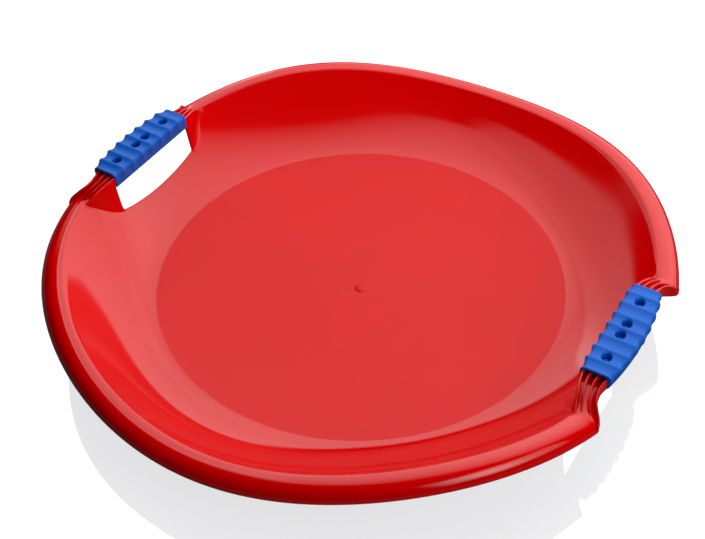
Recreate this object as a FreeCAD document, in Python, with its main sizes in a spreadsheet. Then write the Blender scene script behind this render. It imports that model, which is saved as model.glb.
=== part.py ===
import FreeCAD, Part
import math
import os
import Sketcher
from FreeCAD import Vector

# Saucer sled: a shallow round dish of one moulding with a rolled lip that rises
# and falls in four waves, a finned carrying bar over a hand hole at each side, and
# a ridged grip of two halves, snapped together round each bar.
# The origin is under the middle of the dish, +Z is up and the bars lie at -X and +X.

SIZES = [
    # Dish: flat middle of the base, run of the wall from its foot to the rim, rise of the floor, nub
    ("dish_wall", 3.0),
    ("base_radius", 60.0),
    ("wall_run", 97.8),
    ("floor_rise", 12.3),
    ("nub_radius", 6.0),
    ("nub_height", 2.0),
    # Lip: outer radius, mean height of its crown, roll, drop to its edge, rise of its waves
    ("rim_radius", 293.8),
    ("rim_height", 69.9),
    ("lip_roll", 13.8),
    ("lip_drop", 10.9),
    ("wave_rise", 7.0),
    # Bars: half width where they leave the rim, lean of the cheeks over their full height
    ("handle_half", 92.0),
    ("cheek_lean", 10.9),
    ("fin_wall", 2.4),
    ("fin_rise", 8.8),
    ("web_wall", 2.7),
    ("rib_wall", 3.0),
    # Grips: outer face in from the rim, width to the straight inner face, underside, shells, ridges
    ("grip_inset", 15.8),
    ("grip_width", 33.0),
    ("grip_length", 113.0),
    ("grip_bottom", 68.3),
    ("grip_floor", 2.1),
    ("grip_lap", 1.1),
    ("grip_wall", 2.5),
    ("grip_roof", 3.0),
    ("grip_round", 4.0),
    ("ridge_pitch", 14.6),
    ("ridge_depth", 1.5),
    # Snap posts: line of the posts, holes in the roof, ledge under the heads, bosses
    ("post_inset", 14.6),
    ("hole_diameter", 8.7),
    ("hole_depth", 4.6),
    ("ledge", 1.35),
    ("boss_wall", 1.6),
    # Clearance of what fits together, and run of the cutters past what they cut
    ("fit_gap", 0.2),
    ("overrun", 5.0),
]

WAVES = 4
SECTIONS = 8
FINS = 4
FOOT_STEPS = 8
POST_PITCHES = (-2.5, -0.5, 0.5, 2.5)
CREASE_SLOPE = math.radians(30)
HEAD_HEIGHT_SHARE = 0.55
HEAD_TIP_SHARE = 0.6

doc = FreeCAD.newDocument("saucer_sled")
sheet = doc.addObject("Spreadsheet::Sheet", "Sheet")
for row, (name, value) in enumerate(SIZES, 1):
    sheet.set("A%d" % row, name)
    sheet.set("B%d" % row, str(value))
    sheet.setAlias("B%d" % row, name)
doc.recompute()
size = {name: float(sheet.get(name)) for name, value in SIZES}
size["floor_radius"] = size["rim_radius"] - size["wall_run"]
size["grip_outer"] = size["rim_radius"] - size["grip_inset"]
size["grip_inner"] = size["grip_outer"] - size["grip_width"]

# Sizes that follow from the sheet, in the same words for the code and for expressions
DERIVED = {
    "grip_outer": "rim_radius - grip_inset",
    "grip_inner": "rim_radius - grip_inset - grip_width",
    "web_bottom": "grip_bottom + grip_floor + fit_gap",
    "web_top": "grip_bottom + grip_floor + fit_gap + web_wall",
    "fin_top": "grip_bottom + grip_floor + fit_gap + web_wall + fin_rise",
    "roof_under": "grip_bottom + grip_floor + 2 * fit_gap + web_wall + fin_rise",
    "grip_top": "grip_bottom + grip_floor + 2 * fit_gap + web_wall + fin_rise + grip_roof",
    "parting": "grip_bottom + grip_floor + grip_lap",
    "nub_ball": "( nub_radius ^ 2 + nub_height ^ 2 ) / ( 2 * nub_height )",
    "head_seat": "grip_top - hole_depth + fit_gap",
    "post_across": "hole_diameter - 2 * ledge - 2 * fit_gap",
    "head_radius": "hole_diameter / 2 - 3 * fit_gap",
    "ridge_radius": "( ( ridge_pitch / 2 ) ^ 2 + ridge_depth ^ 2 ) / ( 2 * ridge_depth )",
    "ridge_away": "ridge_radius - ridge_depth",
}


def cell(text):
    """Expression text with every sheet name and derived name written out."""
    words = text.split()
    out = []
    for word in words:
        bare = word.strip("()")
        if bare in DERIVED:
            word = word.replace(bare, "(" + cell(DERIVED[bare]) + ")")
        elif bare in size:
            word = word.replace(bare, "Sheet." + bare)
        out.append(word)
    return " ".join(out)


web_bottom = size["grip_bottom"] + size["grip_floor"] + size["fit_gap"]
web_top = web_bottom + size["web_wall"]
fin_top = web_top + size["fin_rise"]
roof_under = fin_top + size["fit_gap"]
grip_top = roof_under + size["grip_roof"]
parting = size["grip_bottom"] + size["grip_floor"] + size["grip_lap"]
grip_half = size["grip_length"] / 2
hole_half = grip_half + size["fit_gap"]
ridge_radius = ((size["ridge_pitch"] / 2) ** 2 + size["ridge_depth"] ** 2) / (2 * size["ridge_depth"])
valleys = 2 * math.floor(grip_half / size["ridge_pitch"] + 0.5)


def wave(azimuth):
    """Rise of the lip above its mean height."""
    return -size["wave_rise"] * math.cos(WAVES * azimuth)


def mean(a, b):
    return (a + b) / 2


class Profile:
    """Section of the dish in the plane at one azimuth, as (radius, height) points.

    A depth is measured square to the upper surface: zero on it, dish_wall on the underside.
    """

    def __init__(self, azimuth):
        self.azimuth = azimuth
        wall = size["dish_wall"]
        floor_run = size["floor_radius"] - size["base_radius"]
        self.floor_slope = 2 * math.atan(size["floor_rise"] / floor_run)
        self.floor_arc = floor_run / math.sin(self.floor_slope)
        self.floor_centre = (size["base_radius"], wall + self.floor_arc)
        self.lip_centre = (
            size["rim_radius"] - size["lip_roll"],
            size["rim_height"] - size["lip_roll"] + wave(azimuth),
        )
        self.lip_end_slope = -math.acos(1 - size["lip_drop"] / size["lip_roll"])
        self.crease = self.on_lip(0, CREASE_SLOPE)
        foot = (size["floor_radius"], wall + size["floor_rise"])
        run = self.crease[0] - foot[0]
        climb = self.crease[1] - foot[1]
        self.top_slope = 2 * math.atan2(climb, run) - self.floor_slope
        self.wall_arc = run / (math.sin(self.top_slope) - math.sin(self.floor_slope))
        self.wall_centre = (
            foot[0] - self.wall_arc * math.sin(self.floor_slope),
            foot[1] + self.wall_arc * math.cos(self.floor_slope),
        )

    def on_lip(self, depth, slope):
        radius = size["lip_roll"] - depth
        return (
            self.lip_centre[0] - radius * math.sin(slope),
            self.lip_centre[1] + radius * math.cos(slope),
        )

    def on_wall(self, depth, slope):
        radius = self.wall_arc + depth
        return (
            self.wall_centre[0] + radius * math.sin(slope),
            self.wall_centre[1] - radius * math.cos(slope),
        )

    def on_floor(self, depth, slope):
        radius = self.floor_arc + depth
        return (
            self.floor_centre[0] + radius * math.sin(slope),
            self.floor_centre[1] - radius * math.cos(slope),
        )

    def crossing(self, depth):
        """Where the wall meets the lip at this depth."""
        outer = self.wall_arc + depth
        inner = size["lip_roll"] - depth
        dx = self.lip_centre[0] - self.wall_centre[0]
        dz = self.lip_centre[1] - self.wall_centre[1]
        reach = math.hypot(dx, dz)
        along = (reach**2 + outer**2 - inner**2) / (2 * reach)
        aside = math.sqrt(outer**2 - along**2)
        return (
            self.wall_centre[0] + (along * dx - aside * dz) / reach,
            self.wall_centre[1] + (along * dz + aside * dx) / reach,
        )

    def point(self, at):
        return Vector(at[0] * math.cos(self.azimuth), at[0] * math.sin(self.azimuth), at[1])

    def line(self, a, b):
        return Part.makeLine(self.point(a), self.point(b))

    def arc(self, a, b, c):
        return Part.Arc(self.point(a), self.point(b), self.point(c)).toShape()

    def floor(self, depth):
        """Arc from the flat middle of the base to the foot of the wall."""
        middle = self.on_floor(depth, self.floor_slope / 2)
        return self.arc(self.on_floor(depth, 0), middle, self.on_floor(depth, self.floor_slope))

    def wall(self, depth):
        """Arc from the foot of the wall to the lip."""
        top = self.crossing(depth)
        slope = math.atan2(top[0] - self.wall_centre[0], self.wall_centre[1] - top[1])
        middle = self.on_wall(depth, mean(self.floor_slope, slope))
        return self.arc(self.on_wall(depth, self.floor_slope), middle, top)

    def lip(self, depth):
        """Arc from the top of the wall over the crown to the edge of the lip."""
        start = self.crossing(depth)
        slope = math.atan2(self.lip_centre[0] - start[0], start[1] - self.lip_centre[1])
        middle = self.on_lip(depth, mean(slope, self.lip_end_slope))
        return self.arc(start, middle, self.on_lip(depth, self.lip_end_slope))

    def shell(self):
        """Open section of the dish outside the flat middle of its base."""
        depth = size["dish_wall"]
        end = self.lip_end_slope
        edge = self.line(self.on_lip(0, end), self.on_lip(depth, end))
        upper = [self.floor(0), self.wall(0), self.lip(0)]
        under = [self.lip(depth), self.wall(depth), self.floor(depth)]
        return Part.Wire(upper + [edge] + under)

    def wall_height(self, depth, radius):
        """Height of the wall at this depth and distance from the middle of the dish."""
        reach = radius - self.wall_centre[0]
        return self.wall_centre[1] - math.sqrt((self.wall_arc + depth) ** 2 - reach**2)


handle_profile = Profile(0)


def make_bowl():
    """The dish and its lip, all round, without the bars: one stretch of skin for each wave."""
    step = 2 * math.pi / (WAVES * SECTIONS)
    faces = []
    for stretch in range(WAVES):
        start = (stretch - 0.5) * SECTIONS
        wires = [Profile((start + k) * step).shell() for k in range(SECTIONS + 1)]
        faces += Part.makeLoft(wires, False).Faces
    for height in (0, size["dish_wall"]):
        ring = []
        for face in faces:
            for edge in face.Edges:
                level = max(abs(edge.BoundBox.ZMin - height), abs(edge.BoundBox.ZMax - height))
                if level < size["fit_gap"]:
                    ring.append(edge)
        faces.append(Part.Face(Part.Wire(Part.__sortEdges__(ring))))
    shell = Part.makeShell(faces)
    shell.sewShape()
    solid = Part.makeSolid(shell)
    if solid.Volume < 0:
        solid.reverse()
    return solid


def lean(height):
    """How far the innermost fin and its cheeks stand in from their top at this height."""
    return size["cheek_lean"] * (grip_top - height) / grip_top


def stations(across):
    """Inner face of the fin at this share of the way across a bar: x at its middle, grip end and root."""
    straight = size["grip_inner"] + size["grip_wall"] + size["fit_gap"] + lean(web_bottom)
    inner = (straight, straight, math.sqrt(handle_profile.crease[0] ** 2 - size["handle_half"] ** 2))
    radius = size["grip_outer"] - size["grip_wall"] - size["fit_gap"]
    outer = (
        radius,
        math.sqrt(radius**2 - hole_half**2),
        math.sqrt((size["rim_radius"] - size["dish_wall"] / 2) ** 2 - size["handle_half"] ** 2),
    )
    return [i + across * (o - i - size["fin_wall"]) for i, o in zip(inner, outer)]


def root_arc(start, slope, end):
    """Arc that leaves start at the slope dx/dy and reaches end, drawn towards greater |y|."""
    outward = math.copysign(1, end.y)
    heading = math.atan2(outward, slope)
    chord = end - start
    bend = math.atan2(chord.y, chord.x) - heading
    half = chord.Length / (2 * math.cos(bend / 2))
    turn = heading + bend / 2
    middle = start + Vector(half * math.cos(turn), half * math.sin(turn), 0)
    return Part.Arc(start, middle, end).toShape()


def long_line(across, shift, height):
    """A line along a bar in three stretches: root, grip and root."""
    middle, shoulder, root = [x + shift for x in stations(across)]
    sag = middle - shoulder
    crown = Vector(middle, 0, height)
    ends = [Vector(shoulder, side * hole_half, height) for side in (-1, 1)]
    roots = [Vector(root, side * size["handle_half"], height) for side in (-1, 1)]
    if across:
        radius = (hole_half**2 + sag**2) / (2 * sag)
        slope = -hole_half / (radius - sag)
        grip = Part.Arc(ends[0], crown, ends[1]).toShape()
    else:
        slope = 0
        grip = Part.makeLine(ends[0], ends[1])
    arcs = [root_arc(end, slope, far) for end, far in zip(ends, roots)]
    return [arcs[0], grip, arcs[1]]


def closed_face(first, second):
    """Face between two chains of edges that run the same way."""
    edges = first + second
    for end in (0, -1):
        tips = []
        for chain in (first, second):
            corners = sorted((vertex.Point for vertex in chain[end].Vertexes), key=lambda q: q.y)
            tips.append(corners[end])
        edges = edges + [Part.makeLine(tips[0], tips[1])]
    return Part.Face(Part.Wire(Part.__sortEdges__(edges)))


def s_bend(a, b):
    """Two tangent arcs, level at both ends, from (y, z) a to b."""
    half_y = (b[0] - a[0]) / 2
    half_z = (b[1] - a[1]) / 2
    turn = math.atan2(half_z, abs(half_y))
    radius = (half_y**2 + half_z**2) / (2 * half_z)
    step_y = math.copysign(radius * math.sin(turn), half_y)
    step_z = radius * (1 - math.cos(turn))
    middle = Vector(0, mean(a[0], b[0]), mean(a[1], b[1]))
    first = Part.Arc(Vector(0, a[0], a[1]), Vector(0, a[0] + step_y, a[1] + step_z), middle)
    last = Part.Arc(middle, Vector(0, b[0] - step_y, b[1] - step_z), Vector(0, b[0], b[1]))
    return [first.toShape(), last.toShape()]


def side_line(heights):
    """Line along a bar: level in the grip at the first height, down to the second at the rim."""
    level, end = heights
    half = size["handle_half"]
    edges = s_bend((-half, end), (-hole_half, level))
    edges.append(Part.makeLine(Vector(0, -hole_half, level), Vector(0, hole_half, level)))
    edges += s_bend((hole_half, level), (half, end))
    return edges


def side_band(top, bottom):
    """All that lies between two lines along a bar, seen from the side."""
    half = size["handle_half"]
    ends = [
        Part.makeLine(Vector(0, y, bottom[1]), Vector(0, y, top[1])) for y in (-half, half)
    ]
    wire = Part.Wire(Part.__sortEdges__(side_line(top) + side_line(bottom) + ends))
    return Part.Face(wire).extrude(Vector(size["rim_radius"] + size["overrun"], 0, 0))


def upright(face, low):
    """The plan face drawn down to the height low."""
    return face.extrude(Vector(0, 0, low - face.BoundBox.ZMax))


def leaning(face, low):
    """The plan face drawn down to the height low with the cheeks' lean."""
    drop = face.BoundBox.ZMax - low
    return face.extrude(Vector(-lean(grip_top - drop), 0, -drop)).toNurbs()


handle_azimuth = math.asin(size["handle_half"] / size["rim_radius"])
root_crown = size["rim_height"] + wave(handle_azimuth)
root_edge = root_crown - size["lip_drop"]
root_fin = root_crown - size["dish_wall"] / 4
root_web = root_fin - size["dish_wall"] / 2

FIN_TOP_LINE = (fin_top, root_fin)
WEB_TOP_LINE = (web_top, root_web)
WEB_BOTTOM_LINE = (web_bottom, root_web - size["web_wall"])
WEB_MIDDLE_LINE = (mean(web_bottom, web_top), root_web - size["web_wall"] / 2)
SKIRT_LINE = (WEB_MIDDLE_LINE[0], root_edge)


def fin_plan(number, height):
    across = number / (FINS - 1)
    return closed_face(long_line(across, 0, height), long_line(across, size["fin_wall"], height))


def make_fin(number):
    """One upright fin along the bar; the outermost also skirts the bar's ends."""
    low = SKIRT_LINE if number == FINS - 1 else WEB_MIDDLE_LINE
    face = fin_plan(number, fin_top + size["overrun"])
    return upright(face, root_edge - size["overrun"]).common(side_band(FIN_TOP_LINE, low))


def make_web():
    """Floor of the bar between the middles of its innermost and outermost fins."""
    inner = size["fin_wall"] / 2 - lean(mean(*WEB_MIDDLE_LINE))
    outer = size["fin_wall"] / 2
    face = closed_face(long_line(0, inner, fin_top), long_line(1, outer, fin_top))
    return upright(face, root_edge - size["overrun"]).common(side_band(WEB_TOP_LINE, WEB_BOTTOM_LINE))


def cheek_foot(place):
    """Where the middle of a cheek comes down to the middle of the dish's wall, from its top."""
    height = web_bottom
    for step in range(FOOT_STEPS):
        x = place.x + size["fin_wall"] / 2 - lean(height)
        profile = Profile(math.atan2(place.y, x))
        height = profile.wall_height(size["dish_wall"] / 2, math.hypot(x, place.y))
    return Vector(0, place.y, height)


def make_inner_fin():
    """The innermost fin, which leans and runs down to the dish in a cheek at each end of the hand hole."""
    top = long_line(0, 0, grip_top)[-1]
    near, middle, far = [cheek_foot(place) for place in sorted(top.discretize(3), key=lambda q: q.y)]
    level = WEB_MIDDLE_LINE[0]
    outline = side_line(FIN_TOP_LINE)
    outline.append(Part.makeLine(Vector(0, -hole_half, level), Vector(0, hole_half, level)))
    for side in (-1, 1):
        foot = [Vector(0, side * q.y, q.z) for q in (near, middle, far)]
        outline.append(Part.makeLine(Vector(0, foot[0].y, level), foot[0]))
        outline.append(Part.Arc(*foot).toShape())
        outline.append(Part.makeLine(foot[2], Vector(0, foot[2].y, FIN_TOP_LINE[1])))
    band = Part.Face(Part.Wire(Part.__sortEdges__(outline))).extrude(Vector(size["rim_radius"], 0, 0))
    return leaning(fin_plan(0, grip_top), 0).common(band)


def make_rib():
    """Wall across the end of the lip where the bar leaves it at +Y, up to the middle of the lip."""
    depth = size["dish_wall"] / 2
    y = size["handle_half"]

    def at(place):
        x = math.sqrt(place(handle_profile)[0] ** 2 - y**2)
        return Vector(x, y, place(Profile(math.atan2(y, x)))[1])

    top = at(lambda profile: profile.crossing(depth))
    crown = at(lambda profile: profile.on_lip(depth, 0))
    edge = at(lambda profile: profile.on_lip(depth, profile.lip_end_slope))
    foot = Vector(top.x - (top.z - edge.z) / math.tan(handle_profile.top_slope), y, edge.z)
    outline = [Part.Arc(top, crown, edge).toShape(), Part.makeLine(edge, foot), Part.makeLine(foot, top)]
    face = Part.Face(Part.Wire(outline))
    face.translate(Vector(0, -size["rib_wall"] / 2, 0))
    return face.extrude(Vector(0, size["rib_wall"], 0))


def post_places():
    x = size["grip_inner"] + size["post_inset"]
    return [Vector(x, pitch * size["ridge_pitch"], 0) for pitch in POST_PITCHES]


def make_bar():
    """Carrying bar at +X: web, fins, cheeks and end ribs, open where the grip's posts pass."""
    rib = make_rib()
    bar = make_web()
    for number in range(1, FINS):
        bar = bar.fuse(make_fin(number))
    for piece in (make_inner_fin(), rib, rib.mirror(Vector(0, 0, 0), Vector(0, 1, 0))):
        bar = bar.fuse(piece)
    boss_room = size["hole_diameter"] / 2 + size["boss_wall"] + size["fit_gap"]
    post_room = size["hole_diameter"] / 2 - size["ledge"]
    for place in post_places():
        high = Vector(place.x, place.y, web_top)
        bar = bar.cut(Part.makeCylinder(boss_room, size["fin_rise"] + size["overrun"], high))
        low = Vector(place.x, place.y, web_bottom - size["overrun"])
        bar = bar.cut(Part.makeCylinder(post_room, size["web_wall"] + 2 * size["overrun"], low))
    return bar


def make_notch():
    """What the hand hole and the notch take from the dish and its lip at +X."""
    line = long_line(0, size["fin_wall"] / 2, grip_top)
    far = size["rim_radius"] + size["overrun"] + size["cheek_lean"]
    half = size["handle_half"]
    edge = Part.makeLine(Vector(far, -half, grip_top), Vector(far, half, grip_top))
    low = -size["overrun"]
    # The lip ends inside the ribs, a quarter of their thickness before the bar does
    end = half - size["rib_wall"] / 4
    stretch = Part.makeBox(far, 2 * end, grip_top - low, Vector(0, -end, low))
    return leaning(closed_face(line, [edge]), low).common(stretch)


def feature(name, shape):
    item = doc.addObject("Part::Feature", name)
    item.Shape = shape
    item.Placement = FreeCAD.Placement()
    return item


def mirrored(name, source):
    item = doc.addObject("Part::Mirroring", name)
    item.Source = source
    item.Base = Vector(0, 0, 0)
    item.Normal = Vector(1, 0, 0)
    return item


def make_dish():
    """The red moulding: bowl, both notches, both bars and the moulding nub."""
    bowl = feature("bowl", make_bowl())
    right_notch = feature("right_notch", make_notch())
    left_notch = mirrored("left_notch", right_notch)
    right_bar = feature("right_bar", make_bar())
    left_bar = mirrored("left_bar", right_bar)
    nub = doc.addObject("Part::Sphere", "nub")
    nub.setExpression("Radius", cell("nub_ball"))
    nub.setExpression("Placement.Base.z", cell("dish_wall + nub_height - nub_ball"))
    nub.setExpression("Angle1", cell("asin( 1 - ( nub_height + dish_wall / 2 ) / nub_ball )"))
    open_bowl = doc.addObject("Part::Cut", "open_bowl")
    open_bowl.Base = bowl
    notches = doc.addObject("Part::MultiFuse", "notches")
    notches.Shapes = [right_notch, left_notch]
    open_bowl.Tool = notches
    dish = doc.addObject("Part::MultiFuse", "dish_shell")
    dish.Shapes = [open_bowl, right_bar, left_bar, nub]
    return dish


def origin_item(body, role):
    for item in body.Origin.OriginFeatures:
        if item.Role == role:
            return item


def add_sketch(body, name, role, height="0"):
    """Sketch on one of the body's own planes, at the height along its normal."""
    sketch = body.newObject("Sketcher::SketchObject", name)
    sketch.AttachmentSupport = (origin_item(body, role), [""])
    sketch.MapMode = "FlatFace"
    sketch.setExpression("AttachmentOffset.Base.z", cell(height))
    return sketch


def bind(sketch, number, text):
    sketch.setExpression("Constraints[%d]" % number, cell(text))


def plan_sketch(body, name, height, inner, outer, length):
    """Outline of a grip in plan: straight inner side, square ends, outer side round the dish's axis."""
    sketch = add_sketch(body, name, "XY_Plane", height)
    inner_x = size["grip_inner"]
    half = grip_half
    radius = size["grip_outer"]
    turn = math.asin(half / radius)
    outer_x = radius * math.cos(turn)
    corners = [Vector(x, y, 0) for x, y in ((inner_x, -half), (inner_x, half), (outer_x, half), (outer_x, -half))]
    sketch.addGeometry(Part.LineSegment(corners[0], corners[1]))
    sketch.addGeometry(Part.LineSegment(corners[1], corners[2]))
    sketch.addGeometry(Part.ArcOfCircle(Part.Circle(Vector(), Vector(0, 0, 1), radius), -turn, turn))
    sketch.addGeometry(Part.LineSegment(corners[3], corners[0]))
    sketch.addConstraint(Sketcher.Constraint("Coincident", 0, 2, 1, 1))
    sketch.addConstraint(Sketcher.Constraint("Coincident", 1, 2, 2, 2))
    sketch.addConstraint(Sketcher.Constraint("Coincident", 2, 1, 3, 1))
    sketch.addConstraint(Sketcher.Constraint("Coincident", 3, 2, 0, 1))
    sketch.addConstraint(Sketcher.Constraint("Coincident", 2, 3, -1, 1))
    sketch.addConstraint(Sketcher.Constraint("Horizontal", 1))
    sketch.addConstraint(Sketcher.Constraint("Horizontal", 3))
    sketch.addConstraint(Sketcher.Constraint("Symmetric", 0, 1, 0, 2, -1))
    bind(sketch, sketch.addConstraint(Sketcher.Constraint("DistanceX", -1, 1, 0, 1, inner_x)), inner)
    bind(sketch, sketch.addConstraint(Sketcher.Constraint("Radius", 2, radius)), outer)
    bind(sketch, sketch.addConstraint(Sketcher.Constraint("DistanceY", 0, 1, 0, 2, 2 * half)), length)
    return sketch


def hollow_sketch(body, height):
    """Outline of the room inside a grip, past both of its ends."""
    inner = "grip_inner + grip_wall"
    outer = "grip_outer - grip_wall"
    return plan_sketch(body, "hollow_outline", height, inner, outer, "grip_length + 2 * overrun")


def add_circle(sketch, place, across, up, diameter):
    """Circle at the two distances from the sketch's origin; place holds their values."""
    number = sketch.addGeometry(Part.Circle(place, Vector(0, 0, 1), size["hole_diameter"] / 2))
    for kind, value, text in (("DistanceX", place.x, across), ("DistanceY", place.y, up)):
        rule = sketch.addConstraint(Sketcher.Constraint(kind, -1, 1, number, 3, value))
        bind(sketch, rule, text)
    rule = sketch.addConstraint(Sketcher.Constraint("Diameter", number, size["hole_diameter"]))
    bind(sketch, rule, diameter)


def post_sketch(body, name, height, diameter):
    """One circle at every snap post."""
    sketch = add_sketch(body, name, "XY_Plane", height)
    for place, pitch in zip(post_places(), POST_PITCHES):
        add_circle(sketch, place, "grip_inner + post_inset", "%s * ridge_pitch" % pitch, diameter)
    return sketch


def add_feature(body, kind, name, sketch, length, upward):
    """Pad or pocket from its sketch along the plane's normal, or against it."""
    item = body.newObject("PartDesign::" + kind, name)
    item.Profile = sketch
    item.setExpression("Length", cell(length))
    item.Reversed = upward == (kind == "Pocket")
    doc.recompute()
    return item


def add_pattern(body, kind, name, source, axis, reach_name, reach):
    """Copies of a valley along the grip."""
    item = body.newObject("PartDesign::" + kind, name)
    item.Originals = [source]
    if kind == "LinearPattern":
        item.Direction = (origin_item(body, axis), [""])
    else:
        item.Axis = (origin_item(body, axis), [""])
    item.setExpression(reach_name, cell(reach))
    item.Occurrences = valleys
    body.Tip = item
    doc.recompute()


def cut_ridges(body, low, high, with_top):
    """Round valleys, one pitch apart, down both sides of a grip and over its top."""
    first = "( 1 - %d ) / 2 * ridge_pitch" % valleys
    reach = "( %d - 1 ) * ridge_pitch" % valleys
    first_y = (1 - valleys) / 2 * size["ridge_pitch"]
    away = ridge_radius - size["ridge_depth"]
    sketch = add_sketch(body, "inner_valley_sketch", "XY_Plane", low)
    place = Vector(size["grip_inner"] - away, first_y, 0)
    add_circle(sketch, place, "grip_inner - ridge_away", first, "2 * ridge_radius")
    valley = add_feature(body, "Pocket", "inner_valley", sketch, high + " - " + low, True)
    add_pattern(body, "LinearPattern", "inner_valleys", valley, "Y_Axis", "Length", reach)
    turn = first_y / size["grip_outer"]
    radius = size["grip_outer"] + away
    sketch = add_sketch(body, "outer_valley_sketch", "XY_Plane", low)
    place = Vector(radius * math.cos(turn), radius * math.sin(turn), 0)
    angle = first + " / grip_outer * 1 rad"
    add_circle(
        sketch,
        place,
        "( grip_outer + ridge_away ) * cos( %s )" % angle,
        "( grip_outer + ridge_away ) * sin( %s )" % angle,
        "2 * ridge_radius",
    )
    valley = add_feature(body, "Pocket", "outer_valley", sketch, high + " - " + low, True)
    sweep = reach + " / grip_outer * 1 rad"
    add_pattern(body, "PolarPattern", "outer_valleys", valley, "Z_Axis", "Angle", sweep)
    if with_top:
        sketch = add_sketch(body, "top_valley_sketch", "YZ_Plane")
        place = Vector(first_y, grip_top + away, 0)
        add_circle(sketch, place, first, "grip_top + ridge_away", "2 * ridge_radius")
        valley = add_feature(body, "Pocket", "top_valley", sketch, "grip_outer + overrun", True)
        add_pattern(body, "LinearPattern", "top_valleys", valley, "Y_Axis", "Length", reach)


def make_grip_upper():
    """Upper half of the grip at +X: ridged shell with four bosses, open below and at its ends."""
    body = doc.addObject("PartDesign::Body", "right_grip_upper")
    sketch = plan_sketch(body, "outline", "parting", "grip_inner", "grip_outer", "grip_length")
    block = add_feature(body, "Pad", "block", sketch, "grip_top - parting", True)
    edges = []
    for number, edge in enumerate(block.Shape.Edges, 1):
        along = abs(edge.Vertexes[0].Y - edge.Vertexes[-1].Y) > grip_half
        if along and edge.BoundBox.ZMin > mean(parting, grip_top):
            edges.append("Edge%d" % number)
    shoulders = body.newObject("PartDesign::Fillet", "shoulders")
    shoulders.Base = (block, edges)
    shoulders.setExpression("Radius", cell("grip_round"))
    doc.recompute()
    cut_ridges(body, "parting", "( grip_top + overrun )", True)
    sketch = hollow_sketch(body, "parting")
    add_feature(body, "Pocket", "hollow", sketch, "roof_under - parting", True)
    sketch = post_sketch(body, "boss_sketch", "web_top + fit_gap", "hole_diameter + 2 * boss_wall")
    add_feature(body, "Pad", "bosses", sketch, "roof_under - web_top - fit_gap", True)
    sketch = post_sketch(body, "bore_sketch", "parting", "hole_diameter - 2 * ledge")
    add_feature(body, "Pocket", "bores", sketch, "grip_top + overrun - parting", True)
    sketch = post_sketch(body, "hole_sketch", "grip_top - hole_depth", "hole_diameter")
    add_feature(body, "Pocket", "holes", sketch, "hole_depth + overrun", True)
    return body


def make_grip_lower():
    """Lower half of the grip at +X: shallow tray with four snap posts."""
    body = doc.addObject("PartDesign::Body", "right_grip_lower")
    sketch = plan_sketch(body, "outline", "grip_bottom", "grip_inner", "grip_outer", "grip_length")
    add_feature(body, "Pad", "block", sketch, "parting - grip_bottom", True)
    cut_ridges(body, "grip_bottom", "parting", False)
    sketch = hollow_sketch(body, "grip_bottom + grip_floor")
    add_feature(body, "Pocket", "hollow", sketch, "grip_lap + overrun", True)
    sketch = post_sketch(body, "post_sketch", "grip_bottom + grip_floor", "post_across")
    add_feature(body, "Pad", "posts", sketch, "head_seat - grip_bottom - grip_floor", True)
    for number, pitch in enumerate(POST_PITCHES, 1):
        head = body.newObject("PartDesign::AdditiveCone", "head_%d" % number)
        head.AttachmentSupport = (origin_item(body, "XY_Plane"), [""])
        head.MapMode = "FlatFace"
        head.setExpression("AttachmentOffset.Base.x", cell("grip_inner + post_inset"))
        head.setExpression("AttachmentOffset.Base.y", cell("%s * ridge_pitch" % pitch))
        head.setExpression("AttachmentOffset.Base.z", cell("head_seat"))
        head.setExpression("Radius1", cell("head_radius"))
        head.setExpression("Radius2", cell("%s * head_radius" % HEAD_TIP_SHARE))
        head.setExpression("Height", cell("%s * hole_depth" % HEAD_HEIGHT_SHARE))
        doc.recompute()
    return body


nodes = [make_dish()]
for right in (make_grip_upper(), make_grip_lower()):
    nodes.append(right)
    nodes.append(mirrored(right.Label.replace("right", "left"), right))
doc.recompute()

for item in doc.Objects:
    if "Invalid" in item.State or "Error" in item.State:
        raise RuntimeError("%s could not be worked out" % item.Label)
for node in nodes:
    if node.Shape.isNull() or not node.Shape.isValid() or len(node.Shape.Solids) != 1:
        raise RuntimeError("%s is not one sound solid" % node.Label)

os.makedirs("parts", exist_ok=True)
for node in nodes:
    node.Shape.exportStep("parts/%s.step" % node.Label)
    print("%s %.1f" % (node.Label, node.Shape.Volume))
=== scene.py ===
import math

import bmesh
import bpy
from mathutils import Matrix, Vector

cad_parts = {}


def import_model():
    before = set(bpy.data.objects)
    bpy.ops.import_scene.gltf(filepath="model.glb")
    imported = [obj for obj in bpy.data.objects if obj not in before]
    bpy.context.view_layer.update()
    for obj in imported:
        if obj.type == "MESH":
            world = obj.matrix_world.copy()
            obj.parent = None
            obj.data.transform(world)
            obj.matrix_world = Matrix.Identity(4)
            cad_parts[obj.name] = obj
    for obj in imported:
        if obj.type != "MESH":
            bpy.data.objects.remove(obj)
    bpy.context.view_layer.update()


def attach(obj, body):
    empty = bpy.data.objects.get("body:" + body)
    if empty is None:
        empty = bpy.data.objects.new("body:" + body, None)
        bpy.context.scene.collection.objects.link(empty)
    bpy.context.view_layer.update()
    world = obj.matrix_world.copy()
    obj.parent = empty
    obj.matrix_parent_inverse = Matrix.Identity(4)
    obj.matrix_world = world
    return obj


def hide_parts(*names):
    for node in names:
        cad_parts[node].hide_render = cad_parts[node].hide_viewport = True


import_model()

# The sled's lengths are in millimetres. Its bars stand at +X and -X, and azimuths run from +X.
MM = 0.001

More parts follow.
